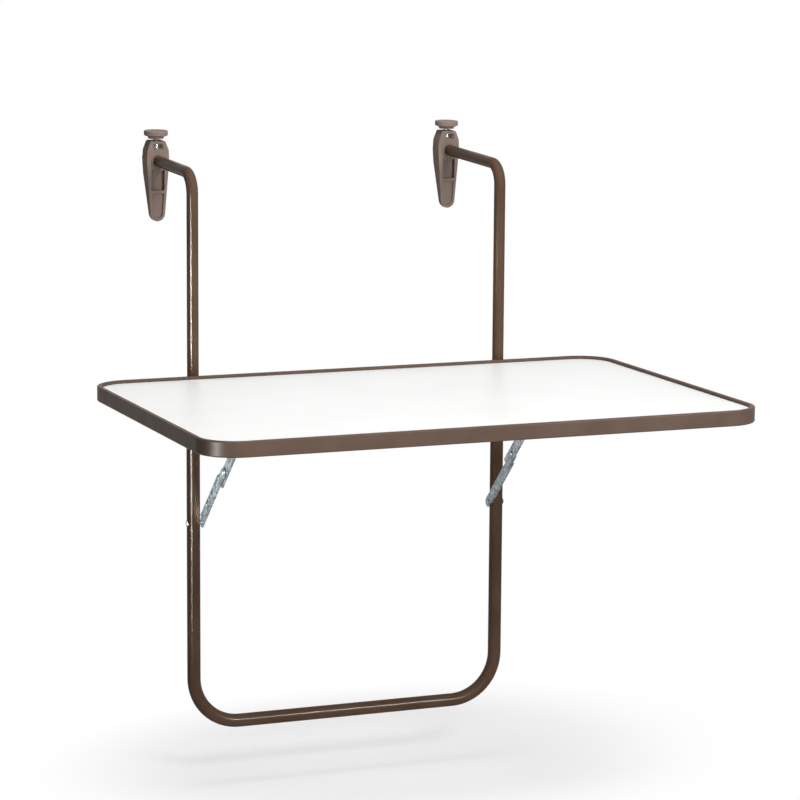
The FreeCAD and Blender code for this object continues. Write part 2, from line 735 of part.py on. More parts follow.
def make_clamp_bolts():
    parts = []
    tip = "( hanger_radius + seat_gap )"
    seat = "( clamp_boss_end + seat_gap )"
    for side in SIDES:
        name = "clamp_bolt_" + side
        bolt = turned(name, rings(None, "clamp_bolt_radius", tip, seat))
        head = new_sketch(bolt, name + "_head", "XY", {"z": seat})
        draw_hexagon(head, "clamp_head_flats")
        pad(bolt, head, "clamp_head_height")
        place_body(bolt, mirrored(side, "0"), None, CLAMP, "0 - 90")
        parts.append(bolt)
    return joined("clamp_bolts", parts)


def make_lower_link(side):
    """The link on the leg, drawn upright from its bolt at the origin, then leaned forward."""
    name = "lower_strut_" + side
    body = new_body(name)
    inward_back = side == "right"
    web = new_sketch(body, name + "_web", "YZ", {"z": mirrored_in_place(side, WEB)})
    draw_belt(web, [(None, None, "link_radius"), (None, LOWER_LINK, "link_radius")])
    pad(body, web, "link_sheet", backward=inward_back)
    edges = new_sketch(body, name + "_folds", "YZ", {"z": mirrored_in_place(side, WEB)})
    high = "( %s - link_edge_high )" % LOWER_LINK
    inner = "( link_radius - link_sheet )"
    draw_box(edges, inner, "link_radius", "link_edge_low", high)
    draw_box(edges, "0 - link_radius", "0 - " + inner, "link_edge_low", high)
    pad(body, edges, "link_depth - link_sheet", backward=not inward_back)
    holes = new_sketch(body, name + "_holes", "YZ")
    draw_circle(holes, None, None, "bolt_radius + pivot_gap")
    draw_circle(holes, None, LOWER_LINK, "rivet_radius + snug_gap")
    pocket(body, holes, both_ways=True)
    place_body(body, mirrored(side, "0"), None, BOLT, STRUT_TILT)
    return body


def make_upper_link(side):
    """The link on the rail, drawn hanging from its pin at the origin, then leaned forward."""
    name = "upper_strut_" + side
    body = new_body(name)
    bar = new_sketch(body, name + "_bar", "YZ", {"z": mirrored_in_place(side, BAR)})
    corner = "( bar_radius - bar_corner )"
    low = "( bar_corner - %s - bar_tail )" % UPPER_LINK
    draw_belt(bar, [
        (None, None, "bar_radius"),
        ("0 - " + corner, low, "bar_corner"),
        (corner, low, "bar_corner"),
    ])
    pad(body, bar, "bar_thickness", backward=side == "right")
    holes = new_sketch(body, name + "_holes", "YZ")
    draw_circle(holes, None, None, "pin_radius + pivot_gap")
    draw_circle(holes, None, "0 - " + UPPER_LINK, "rivet_radius + snug_gap")
    pocket(body, holes, both_ways=True)
    place_body(body, mirrored(side, "0"), "0 - strut_reach", HINGE, STRUT_TILT)
    return body


def make_knee_outer(side):
    """The half of the knee rivet that stays with the lower link, with the shoulder between the links."""
    shoulder = "( link_sheet + bolt_end_height + seat_gap )"
    body = turned("knee_rivet_outer_" + side, [
        (None, "0 - rivet_head_height"),
        ("rivet_head_radius", "0 - rivet_head_height"),
        ("rivet_head_radius", None),
        ("rivet_radius", None),
        ("rivet_radius", "link_sheet"),
        ("rivet_head_radius", "link_sheet"),
        ("rivet_head_radius", shoulder),
        (None, shoulder),
    ])
    end = value("0 - rivet_head_height")
    round_edges(body, body.Tip, "rivet_head_round", lambda edge: lies_at(edge, 2, end))
    point_inward(body, side, WEB, KNEE_BACK, KNEE_UP)
    return body


def make_knee_inner(side):
    """The half of the knee rivet that stays with the upper link."""
    end = "( bar_thickness + rivet_head_height )"
    body = turned("knee_rivet_inner_" + side, [
        (None, "snug_gap"),
        ("rivet_radius", "snug_gap"),
        ("rivet_radius", "bar_thickness"),
        ("rivet_head_radius", "bar_thickness"),
        ("rivet_head_radius", end),
        (None, end),
    ])
    top = value(end)
    round_edges(body, body.Tip, "rivet_head_round", lambda edge: lies_at(edge, 2, top))
    point_inward(body, side, BAR, KNEE_BACK, KNEE_UP)
    return body


def make_strut_pin(side):
    collar = "( bar_thickness + seat_gap )"
    rail = "( rail_offset - %s )" % BAR
    back = "( %s + rail_thickness )" % rail
    end = "( %s + pin_head_height )" % back
    body = turned("strut_pin_" + side, [
        (None, "snug_gap"),
        ("pin_radius", "snug_gap"),
        ("pin_radius", collar),
        ("pin_collar_radius", collar),
        ("pin_collar_radius", rail),
        ("pin_radius", rail),
        ("pin_radius", back),
        ("pin_collar_radius", back),
        ("pin_collar_radius", end),
        (None, end),
    ])
    top = value(end)
    round_edges(body, body.Tip, "pin_head_round", lambda edge: lies_at(edge, 2, top))
    point_inward(body, side, BAR, "0 - strut_reach", HINGE)
    return body


def make_hanger(side):
    body = new_body("hanger_tube_" + side)
    route = new_sketch(body, "hanger_route_" + side, "YZ", {"z": mirrored(side, "0")})
    draw_route(route, [
        ((None, HANGER_LOW), (None, "0 - " + BEND_RUN)),
        (
            ("%s * cos ( arm_rise )" % BEND_RUN, "%s * sin ( arm_rise )" % BEND_RUN),
            ("arm_reach * cos ( arm_rise )", "arm_reach * sin ( arm_rise )"),
        ),
    ], "arm_bend_radius")
    sweep_tube(body, route, {"x": mirrored(side, "0"), "z": HANGER_LOW}, "hanger_radius", "hanger_wall")
    return body


def make_arm_cap(side):
    body = turned("arm_end_cap_" + side, [
        (None, "0 - arm_cap_plug"),
        ("hanger_radius - hanger_wall - snug_gap", "0 - arm_cap_plug"),
        ("hanger_radius - hanger_wall - snug_gap", None),
        ("hanger_radius", None),
        ("hanger_radius", "arm_cap_dome"),
        (None, "arm_cap_dome"),
    ])
    end = value("arm_cap_dome")
    round_edges(body, body.Tip, "arm_cap_round", lambda edge: lies_at(edge, 2, end))
    place_body(body, mirrored(side, "0"), "arm_reach * cos ( arm_rise )",
               "arm_reach * sin ( arm_rise )", "arm_rise - 90")
    return body


def place_on_arm(body, side):
    """Puts a body drawn about the arm's axis, from the hook's front face back, on its arm."""
    place = "hook_%s_place" % side
    place_body(body, mirrored(side, "0"), "%s * cos ( arm_rise )" % place,
               "%s * sin ( arm_rise )" % place, "arm_rise")


def make_hook(side):
    """One hook clamp, drawn about the arm's axis with its front face at the origin."""
    name = "hook_body_" + side
    body = new_body(name)
    corner_x = "( hook_top_half - hook_top_radius )"
    corner_z = "( hook_rise - hook_top_radius )"
    shoulder_x = "( hook_shoulder_half - hook_shoulder_radius )"
    outline = new_sketch(body, name + "_outline", "XZ")
    draw_belt(outline, [
        (None, "0 - hook_tip_drop", "hook_tip_radius"),
        (None, None, "hook_radius"),
        (shoulder_x, "hook_shoulder_rise", "hook_shoulder_radius"),
        (corner_x, corner_z, "hook_top_radius"),
        ("0 - " + corner_x, corner_z, "hook_top_radius"),
        ("0 - " + shoulder_x, "hook_shoulder_rise", "hook_shoulder_radius"),
        (None, None, "hook_radius"),
    ])
    pad(body, outline, "hook_depth", backward=True)
    slope = new_sketch(body, name + "_slope", "YZ")
    end = "( 0 - hook_tip_drop - hook_tip_radius )"
    below = "( %s - hook_tip_radius )" % end
    behind = "( hook_depth + hook_tip_radius )"
    draw_polygon(slope, [
        ("hook_depth", "0 - hook_slope_drop"),
        ("hook_tip_depth", end),
        ("hook_tip_depth", below),
        (behind, below),
        (behind, "0 - hook_slope_drop"),
    ])
    sloped = pocket(body, slope, both_ways=True)
    round_edges(body, sloped, "hook_edge_radius", is_hook_rim)
    cut_tongue(body)
    disc = new_sketch(body, name + "_disc", "XZ")
    draw_circle(disc, None, None, "hook_disc_radius")
    pad(body, disc, "pocket_floor", backward=True)
    collar = new_sketch(body, name + "_collar", "XZ")
    draw_circle(collar, None, None, "collar_radius")
    pad(body, collar, "collar_height")
    cut_nut_seat(body)
    bore = new_sketch(body, name + "_bore", "XZ")
    draw_circle(bore, None, None, "hanger_radius + sliding_gap")
    pocket(body, bore, both_ways=True)
    place_on_arm(body, side)
    return body


def is_hook_rim(edge):
    """Whether an edge runs round the hook's front or rear face, but not across its rear."""
    points = edge.discretize(SAMPLES)
    drop = value("hook_slope_drop")
    depth = value("hook_depth")
    end = value("hook_tip_drop + hook_tip_radius")
    lean = (depth - value("hook_tip_depth")) / (end - drop)
    if lies_at(edge, 1, 0):
        return True
    if lies_at(edge, 2, -drop):
        return False
    rear = [depth if point.z > -drop else depth + (point.z + drop) * lean for point in points]
    return all(abs(point.y - place) < SAME_ON_SLOPE for point, place in zip(points, rear))


def cut_tongue(body):
    """The two pockets in the tongue's front face, with the rib between them."""
    inset = "( pocket_half - pocket_corner )"
    upper = new_sketch(body, body.Name + "_upper_pocket", "XZ")
    top = "( 0 - pocket_top - pocket_corner )"
    low = "( 0 - pocket_rib_top + pocket_corner )"
    draw_belt(upper, [
        (inset, low, "pocket_corner"),
        (inset, top, "pocket_corner"),
        ("0 - " + inset, top, "pocket_corner"),
        ("0 - " + inset, low, "pocket_corner"),
    ])
    pocket(body, upper, "pocket_floor")
    lower = new_sketch(body, body.Name + "_lower_pocket", "XZ")
    top = "( 0 - pocket_rib_top - pocket_rib - pocket_corner )"
    inset = "( pocket_half - pocket_taper - pocket_corner )"
    draw_belt(lower, [
        (inset, top, "pocket_corner"),
        ("0 - " + inset, top, "pocket_corner"),
        (None, "0 - hook_tip_drop", "slot_radius"),
    ])
    pocket(body, lower, "slot_floor")


def cut_nut_seat(body):
    """The window, the slot for the captive nut, and the holes of the spindle and its pad."""
    window = new_sketch(body, body.Name + "_window", "XZ")
    middle = "( nut_floor + nut_height / 2 )"
    half = "( window_width / 2 )"
    draw_box(window, "0 - " + half, half, "%s - window_height / 2" % middle,
             "%s + window_height / 2" % middle)
    pocket(body, window, "window_depth")
    slot = new_sketch(body, body.Name + "_nut_slot", "XY", {"z": "nut_floor"})
    half = "( nut_flats / 2 + nut_play )"
    draw_box(slot, "0 - " + half, half, "hook_edge_radius",
             "spindle_place + nut_flats / sqrt ( 3 ) + nut_play")
    pocket(body, slot, "nut_height + nut_play", backward=True)
    shaft = new_sketch(body, body.Name + "_spindle_hole", "XY", {"z": "hook_rise"})
    draw_circle(shaft, None, "spindle_place", "spindle_radius + seat_gap")
    pocket(body, shaft, "hook_rise")
    chamber = new_sketch(body, body.Name + "_pad_chamber", "XY", {"z": "pad_chamber"})
    draw_circle(chamber, None, "spindle_place", "pad_radius + seat_gap")
    pocket(body, chamber, "pad_chamber")


def make_captive_nut(side):
    name = "captive_nut_" + side
    body = new_body(name)
    plan = new_sketch(body, name + "_plan", "XY", {"y": "spindle_place", "z": "nut_floor"})
    draw_hexagon(plan, "nut_flats")
    draw_circle(plan, None, None, "spindle_radius + thread_gap")
    pad(body, plan, "nut_height")
    place_on_arm(body, side)
    return body


def make_thrust_pad(side):
    body = turned("thrust_pad_" + side, rings(
        None, "pad_radius", PAD_LOW, PAD_TOP), SPINDLE)
    place_on_arm(body, side)
    return body


def make_spindle(side):
    body = turned("clamp_spindle_" + side, rings(
        None, "spindle_radius", PAD_TOP, BORE_END), SPINDLE)
    place_on_arm(body, side)
    return body


def make_knob(side):
    bore = "( spindle_radius + snug_gap )"
    cone = "( %s + knob_hub )" % KNOB_LOW
    band = "( %s + knob_hub + knob_cone )" % KNOB_LOW
    crown = "( %s + knob_hub + knob_cone + knob_rim )" % KNOB_LOW
    bottom = "( %s - knob_collar )" % KNOB_LOW
    body = turned("clamp_knob_" + side, [
        (bore, bottom),
        ("knob_collar_radius", bottom),
        ("knob_collar_radius", KNOB_LOW),
        ("knob_hub_radius", KNOB_LOW),
        ("knob_hub_radius", cone),
        ("knob_radius", band),
        ("knob_radius", crown),
        (None, crown),
        (None, BORE_END),
        (bore, BORE_END),
    ], SPINDLE)
    heights = (value(crown), value(band))
    round_edges(body, body.Tip, "knob_edge_radius",
                lambda edge: any(lies_at(edge, 2, height) for height in heights))
    place_on_arm(body, side)
    return body


def check_document():
    """Stops on any object that failed to build."""
    for item in doc.Objects:
        if "Invalid" in item.State or "Error" in item.State:
            raise ValueError("%s failed: %s" % (item.Name, item.State))


def export(pieces):
    """Writes one STEP file for each piece, under its label."""
    doc.recompute()
    check_document()
    for piece in pieces:
        shape = piece.Shape
        if shape.isNull() or not shape.isValid():
            raise ValueError(piece.Label + " has no valid shape")
    for piece in pieces:
        piece.Shape.exportStep("parts/%s.step" % piece.Label)
        print(piece.Label, len(piece.Shape.Solids), round(piece.Shape.Volume, 1))


SIDE_PIECES = [
    make_hanger, make_arm_cap, make_bush, make_stud, make_strut_bolt, make_clamp_boss,
    make_rail, make_strut_pin, make_lower_link, make_knee_outer, make_upper_link,
    make_knee_inner, make_hook, make_captive_nut, make_thrust_pad, make_spindle, make_knob,
]
SINGLE_PIECES = [
    make_board, make_rim, make_screws, make_frame, make_washers, make_hinge_nuts,
    make_clamp_bolts,
]

export([make() for make in SINGLE_PIECES] + [make(side) for make in SIDE_PIECES for side in SIDES])
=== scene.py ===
import json
import math

import bmesh
import bpy
from mathutils import Matrix, Vector


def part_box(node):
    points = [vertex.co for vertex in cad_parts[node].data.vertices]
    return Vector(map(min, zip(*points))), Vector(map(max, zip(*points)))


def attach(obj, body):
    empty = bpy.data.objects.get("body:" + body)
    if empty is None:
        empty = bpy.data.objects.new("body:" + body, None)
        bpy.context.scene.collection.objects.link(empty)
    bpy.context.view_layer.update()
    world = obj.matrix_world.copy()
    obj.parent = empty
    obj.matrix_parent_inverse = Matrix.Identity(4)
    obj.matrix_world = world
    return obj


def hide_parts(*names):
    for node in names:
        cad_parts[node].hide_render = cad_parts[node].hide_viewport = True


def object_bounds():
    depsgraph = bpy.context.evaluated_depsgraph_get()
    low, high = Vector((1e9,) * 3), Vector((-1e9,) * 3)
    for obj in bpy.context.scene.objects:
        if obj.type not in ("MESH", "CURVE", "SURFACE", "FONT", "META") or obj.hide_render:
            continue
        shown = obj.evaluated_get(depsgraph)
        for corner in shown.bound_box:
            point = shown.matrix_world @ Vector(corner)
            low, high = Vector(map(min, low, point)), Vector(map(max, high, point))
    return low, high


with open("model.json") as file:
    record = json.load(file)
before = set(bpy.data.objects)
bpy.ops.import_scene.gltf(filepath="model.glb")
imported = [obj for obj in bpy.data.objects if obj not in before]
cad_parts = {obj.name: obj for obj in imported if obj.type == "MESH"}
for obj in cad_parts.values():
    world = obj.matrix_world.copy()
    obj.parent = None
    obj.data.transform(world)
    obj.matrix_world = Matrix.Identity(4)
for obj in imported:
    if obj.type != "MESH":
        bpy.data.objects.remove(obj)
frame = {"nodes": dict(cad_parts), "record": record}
nodes = frame["nodes"]
cad_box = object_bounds()

# Balcony hanging table. Metres, +Z up, +X to the right, +Y to the rear over the railing.
SIDES = ("left", "right")

# The camera, fitted to the straight edges of the table and the tubes.
CAMERA_PLACE = Vector((-1.8734, -4.8429, 0.4703))
CAMERA_YAW = math.radians(22.094)
CAMERA_PITCH = math.radians(-9.302)
CAMERA_ROLL = math.radians(0.409)
FOCAL_PIXELS = 3188
IMAGE_PIXELS = 800
SENSOR = 36

# The floor lies below the lowest place of the frame, which slides 90 mm down on its hangers.
FLOOR_SIZE = 60
FLOOR_DROP = 0.091
FLOOR_COLOUR = (0.65, 0.65, 0.65, 1)
FLOOR_ROUGHNESS = 0.9
FLOOR_GLOW = 0.405
FLOOR_SHADOW_SHARE = 0.70
SHADOW_CENTRE = Vector((0.14, 0.06, 0))
SHADOW_HALF = Vector((0.58, 0.40, 1))
SHADOW_FADE = (0.55, 1.20)
WORLD_LIGHT = 0.08
WHITE = (1, 1, 1, 1)

# Lamps: name, place, the point they look at, width, height and power.
MIDDLE = (0, -0.3, -0.4)
SOFTBOXES = (
    ("top", (0.05, -0.35, 2.4), MIDDLE, 1.6, 1.6, 40),
    ("key", (0.25, -3.05, 1.68), MIDDLE, 1.3, 1.3, 82),
    ("fill", (0.2, -3.9, -0.1), MIDDLE, 2.2, 1.2, 46),
)
REAR_SOFTBOX = ("back", (0.3, 3.2, -0.45), MIDDLE, 2.6, 0.8, 36)
# Lamps that only the coats show, with their spread in degrees besides.
REFLECTED = (
    ("tube_strip", (-1.58, -0.96, -0.55), (-0.36, 0.08, -0.45), 0.5, 0.66, 27, 12),
    ("corner_strip", (-1.84, -1.1, -0.6), (-0.42, -0.58, -0.36), 0.5, 0.2, 6, 24),
    ("front_strip", (1.1, -2.5, 0.37), (0, 0, -0.9), 0.7, 0.10, 10, 26),
    ("low_strip", (-0.79, -0.32, -0.53), (-0.36, 0, -0.45), 0.10, 0.09, 1.2, 40),
)

# Small hardware: edges sharper than these angles stay sharp.
SMOOTH_ANGLE = math.radians(40)
NUT_SMOOTH_ANGLE = math.radians(30)
SCREW_SMOOTH_ANGLE = math.radians(35)
MERGE_DISTANCE = 1e-6

# Clamp spindles, square to the arms, which rise to the rear
ARM_RISE = math.radians(2)
THREAD_PITCH = 0.00125
THREAD_DEPTH = 0.00065
THREAD_ROWS_PER_TURN = 8
THREAD_SIDES = 32

# Lock nuts: rows from the seat outwards, as shares of the height and of the apothem. A hexagon's
# third value draws it in towards a circle, as a chamfer does.
NUT_HEXAGONS = ((0, 0.96, 1), (0.07, 1, 0.35), (0.12, 1, 0), (0.72, 1, 0), (0.78, 0.97, 0.7))
NUT_CROWN = ((0.86, 0.84), (1, 0.80))
NUT_INSERT = ((0.90, 0.78), (1, 0.78))
NUT_SIDES = 48
INSERT_SIDES = 36

# Rail screws, as shares of the head's radius or of its height
SCREW_SHANK = 0.5
SCREW_HEAD = 0.6
SCREW_RIM = 0.72
SCREW_SIDES = 48
DOME_ROWS = 13
DOME_POWER = 3
CROSS_REACH = 0.62
CROSS_WIDTH = 0.17
CROSS_DEPTH = 0.6
CROSS_SLOPE = 0.5
CROSS_RISE = 0.5

# Weld beads
LEG_RADIUS = 0.011
BEAD_RADIUS = 0.0011
BEAD_RIPPLES = 16
BEAD_RIPPLE_DEPTH = 0.14
BEAD_ROWS_PER_RIPPLE = 8
BEAD_SIDES = 12

# How each kind of surface is made:
# clouds  turns per metre and detail of the noise that blends its two colours
# blend   the part of that noise that the blend takes
# gloss   turns per metre and detail of the noise in its roughness
# stray   how far the roughness strays down and up
# grains  turns per metre, detail, strength and depth in metres of each bump
KINDS = {
    "powder_coat": {
        "clouds": (14, 3), "blend": (0.35, 0.65), "gloss": (40, 3), "stray": (0.04, 0.05),
        "grains": ((520, 2, 0.10, 0.0004), (1900, 1, 0.06, 0.0002)), "metallic": 0,
    },
    "moulded_plastic": {
        "clouds": (30, 3), "blend": (0.35, 0.65), "gloss": (90, 3), "stray": (0.05, 0.05),
        "grains": ((2600, 2, 0.22, 0.0002),), "metallic": 0,
    },
    "plated_metal": {
        "clouds": (150, 6), "blend": (0.42, 0.62), "gloss": (160, 4), "stray": (0.08, 0.10),
        "grains": ((700, 4, 0.14, 0.0003),), "metallic": 0.9,
    },
    "laminate": {
        "clouds": (6, 3), "blend": (0.35, 0.65), "gloss": (25, 3), "stray": (0.04, 0.04),
        "grains": ((1400, 2, 0.05, 0.0002),), "metallic": 0,
    },
}
# The part of a noise that its full range of roughness takes
NOISE_BAND = (0.3, 0.7)
EVEN = (1, 1, 1)
ROLLED = (1, 6, 6)

# Each slot's material: its name, kind, two colours in 0 to 255, roughness, specular level, and the
# stretch of its grain.
LOOKS = {
    "white_board": (
        "board_laminate", "laminate", (245, 245, 244), (248, 248, 247), 0.42, 0.35, EVEN),
    "rim_brown": (
        "rim_brown", "powder_coat", (92, 75, 65), (99, 82, 72), 0.36, 0.025, EVEN),
    "frame_brown": (
        "tube_brown", "powder_coat", (86, 66, 52), (94, 74, 60), 0.20, 0.02, EVEN),
    "zinc": (
        "zinc_plate", "plated_metal", (96, 106, 110), (150, 158, 160), 0.38, 0.5, ROLLED),
    "bright_steel": (
        "bright_steel", "plated_metal", (205, 207, 208), (232, 233, 233), 0.26, 0.5, EVEN),
    "hook_plastic": (
        "hook_plastic", "moulded_plastic", (132, 116, 107), (141, 125, 116), 0.5, 0.01, EVEN),
    "dark_plastic": (
        "dark_plastic", "moulded_plastic", (52, 44, 39), (59, 50, 45), 0.5, 0.01, EVEN),
    "nylon": (
        "nylon_insert", "moulded_plastic", (196, 200, 204), (208, 212, 215), 0.45, 0.01, EVEN),
}


def srgb(red, green, blue):
    """A colour given in 0 to 255 as the linear colour that the shaders take."""
    def linear(part):
        part /= 255
        return part / 12.92 if part <= 0.04045 else ((part + 0.055) / 1.055) ** 2.4
    return (linear(red), linear(green), linear(blue), 1)


# Materials

def new_material(name):
    """A material with its node tree and its main shader."""
    material = bpy.data.materials.new(name)
    material.use_nodes = True
    return material, material.node_tree, material.node_tree.nodes["Principled BSDF"]


def noise(tree, scale, detail, stretch=EVEN):
    """Noise fixed to the object, in turns per metre."""
    places = tree.nodes.new("ShaderNodeTexCoord")
    mapping = tree.nodes.new("ShaderNodeMapping")
    mapping.inputs["Scale"].default_value = stretch
    texture = tree.nodes.new("ShaderNodeTexNoise")
    texture.inputs["Scale"].default_value = scale
    texture.inputs["Detail"].default_value = detail
    tree.links.new(places.outputs["Object"], mapping.inputs["Vector"])
    tree.links.new(mapping.outputs["Vector"], texture.inputs["Vector"])
    return texture.outputs["Fac"]


def ramp(tree, factor, low, high, band):
    """Turns a band of noise into a blend of two colours."""
    node = tree.nodes.new("ShaderNodeValToRGB")
    for element, place, colour in zip(node.color_ramp.elements, band, (low, high)):
        element.position = place
        element.color = colour
    tree.links.new(factor, node.inputs["Fac"])
    return node.outputs["Color"]


def spread(tree, factor, low, high):
    """Turns noise into a value between two limits."""
    node = tree.nodes.new("ShaderNodeMapRange")
    node.inputs["From Min"].default_value, node.inputs["From Max"].default_value = NOISE_BAND
    node.inputs["To Min"].default_value = low
    node.inputs["To Max"].default_value = high
    tree.links.new(factor, node.inputs["Value"])
    return node.outputs["Result"]


def bump(tree, shader, grains, stretch):
    """Stacks a kind's grains on a shader's normal."""
    normal = None
    for turns, detail, strength, depth in grains:
        node = tree.nodes.new("ShaderNodeBump")
        node.inputs["Strength"].default_value = strength
        node.inputs["Distance"].default_value = depth
        tree.links.new(noise(tree, turns, detail, stretch), node.inputs["Height"])
        if normal is not None:
            tree.links.new(normal, node.inputs["Normal"])
        normal = node.outputs["Normal"]
    tree.links.new(normal, shader.inputs["Normal"])


def surface(name, kind, dark, light, roughness, specular, stretch):
    """A procedural material: cloudy colour, uneven gloss and fine grain."""
    recipe = KINDS[kind]
    material, tree, shader = new_material(name)
    colour = ramp(tree, noise(tree, *recipe["clouds"]), srgb(*dark), srgb(*light), recipe["blend"])
    tree.links.new(colour, shader.inputs["Base Color"])
    down, up = recipe["stray"]
    gloss = spread(tree, noise(tree, *recipe["gloss"]), roughness - down, roughness + up)
    tree.links.new(gloss, shader.inputs["Roughness"])
    shader.inputs["Specular IOR Level"].default_value = specular
    shader.inputs["Metallic"].default_value = recipe["metallic"]
    bump(tree, shader, recipe["grains"], stretch)
    return material


MATERIALS = {slot: surface(*look) for slot, look in LOOKS.items()}


def dress_nodes():
    """Gives every carried-over piece the material of its slot in the record."""
    for part in frame["record"]["subparts"]:
        mesh = nodes[part["node"]].data
        mesh.materials.clear()
        mesh.materials.append(MATERIALS[part["material_slot"]])


# Small hardware: pieces that stand for plain solids of the frame, or lie on its joints

def centre_of(node):
    low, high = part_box(node)
    return (low + high) / 2


def solids_of(node):
    """The boxes (low, high) of a node's separate solids, from left to right and rear to front."""
    mesh = bmesh.new()
    mesh.from_mesh(nodes[node].data)
    bmesh.ops.remove_doubles(mesh, verts=mesh.verts, dist=MERGE_DISTANCE)
    left = set(mesh.verts)
    boxes = []
    while left:
        group = [left.pop()]
        for vertex in group:
            for edge in vertex.link_edges:
                other = edge.other_vert(vertex)
                if other in left:
                    left.remove(other)
                    group.append(other)
        low = Vector([min(vertex.co[axis] for vertex in group) for axis in range(3)])
        high = Vector([max(vertex.co[axis] for vertex in group) for axis in range(3)])
        boxes.append((low, high))
    mesh.free()
    return sorted(boxes, key=lambda box: (round(box[0].x, 3), -box[0].y))


def ring_mesh(name, rows, looped=False):
    """A piece from rows of points, each row a closed ring with the same count, open rows capped."""
    mesh = bmesh.new()
    made = [[mesh.verts.new(point) for point in row] for row in rows]
    pairs = list(zip(made, made[1:])) + ([(made[-1], made[0])] if looped else [])
    for lower, upper in pairs:
        for index in range(len(lower)):
            following = (index + 1) % len(lower)
            mesh.faces.new((lower[index], lower[following], upper[following], upper[index]))
    if not looped:
        mesh.faces.new(list(reversed(made[0])))
        mesh.faces.new(made[-1])
    bmesh.ops.recalc_face_normals(mesh, faces=mesh.faces)
    data = bpy.data.meshes.new(name)
    mesh.to_mesh(data)
    mesh.free()
    piece = bpy.data.objects.new(name, data)
    bpy.context.scene.collection.objects.link(piece)
    return piece


def join_pieces(name, pieces):
    """One object from several, with their places and materials kept."""
    bpy.context.view_layer.update()
    for piece in pieces:
        piece.data.transform(piece.matrix_world)
        piece.matrix_world = Matrix.Identity(4)
    with bpy.context.temp_override(active_object=pieces[0], selected_editable_objects=pieces):
        bpy.ops.object.join()
    pieces[0].name = name
    return pieces[0]


def finish_piece(piece, body, slot, smooth_angle=SMOOTH_ANGLE):
    """Material from a slot, shading and body of a piece."""
    if not piece.data.materials:
        piece.data.materials.append(MATERIALS[slot])
    piece.data.shade_smooth()
    piece.data.set_sharp_from_angle(angle=smooth_angle)
    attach(piece, body)


def circle(radius, height, count):
    step = 2 * math.pi / count
    return [Vector((radius * math.cos(step * index), radius * math.sin(step * index), height))
            for index in range(count)]


def hexagon(apothem, height, rounded):
    """A hexagon's ring, drawn in towards a circle by the share rounded, as a chamfer does."""
    points = []
    for index in range(NUT_SIDES):
        angle = 2 * math.pi * index / NUT_SIDES
        from_flat = (angle + math.pi / 6) % (math.pi / 3) - math.pi / 6
        reach = apothem / math.cos(from_flat)
        reach += (apothem - reach) * rounded
        points.append(Vector((reach * math.cos(angle), reach * math.sin(angle), height)))
    return points


def pointing(direction, centre):
    """The placing that turns a piece's own Z axis to a direction at a centre."""
    turn = Vector(direction).to_track_quat("Z", "Y").to_matrix().to_4x4()
    return Matrix.Translation(centre) @ turn


def make_threads():
    """The clamp spindles with their screw threads, which stand for plain rods."""
    axis = Vector((0, -math.sin(ARM_RISE), math.cos(ARM_RISE)))
    for side in SIDES:
        node = "clamp_spindle_" + side
        low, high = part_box(node)
        radius = (high.x - low.x) / 2
        length = (high.z - low.z - 2 * radius * math.sin(ARM_RISE)) / math.cos(ARM_RISE)
        rows = []
        rows_count = int(length / THREAD_PITCH * THREAD_ROWS_PER_TURN)
        for row in range(rows_count + 1):
            height = length * (row / rows_count - 0.5)
            ring = []
            for index in range(THREAD_SIDES):
                turn = index / THREAD_SIDES
                tooth = abs(((height / THREAD_PITCH - turn) % 1) * 2 - 1)
                reach = radius - THREAD_DEPTH * tooth
                ring.append(Vector((reach * math.cos(2 * math.pi * turn),
                                    reach * math.sin(2 * math.pi * turn), height)))
            rows.append(ring)
        rod = ring_mesh("spindle_thread_" + side, rows)
        rod.matrix_world = pointing(axis, (low + high) / 2)
        finish_piece(rod, "knob_" + side, "bright_steel")
        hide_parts(node)


def make_nut(name, flats, height):
    """A lock nut along Z: chamfered hexagon with a nylon ring in its outer end."""
    apothem = flats / 2
    rows = [hexagon(apothem * reach, height * at, rounded) for at, reach, rounded in NUT_HEXAGONS]
    rows += [circle(apothem * reach, height * at, NUT_SIDES) for at, reach in NUT_CROWN]
    nut = ring_mesh(name, rows)
    nut.data.materials.append(MATERIALS["zinc"])
    rows = [circle(apothem * reach, height * at, INSERT_SIDES) for at, reach in NUT_INSERT]
    ring = ring_mesh(name + "_insert", rows)
    ring.data.materials.append(MATERIALS["nylon"])
    return [nut, ring]


def make_nuts():
    """The lock nuts on the hinge studs, which stand for plain hexagons."""
    pieces = []
    for low, high in solids_of("hinge_nuts"):
        inward = -1 if low.x > 0 else 1
        seat = Vector((low.x if inward > 0 else high.x, (low.y + high.y) / 2, (low.z + high.z) / 2))
        made = make_nut("lock_nut", min(high.y - low.y, high.z - low.z), high.x - low.x)
        for piece in made:
            piece.matrix_world = pointing((inward, 0, 0), seat)
        pieces += made
    nuts = join_pieces("lock_nuts", pieces)
    finish_piece(nuts, "frame", "zinc", NUT_SMOOTH_ANGLE)
    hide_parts("hinge_nuts")


def cross_depth(x, y, reach, width, depth):
    """How deep a cross recess is at a place on a screw's head."""
    slope = width * CROSS_SLOPE
    arms = max(
        min(1, max(0, (width - abs(y)) / slope)) * (abs(x) < reach),
        min(1, max(0, (width - abs(x)) / slope)) * (abs(y) < reach),
    )
    return depth * arms * (1 - CROSS_RISE * max(abs(x), abs(y)) / reach)


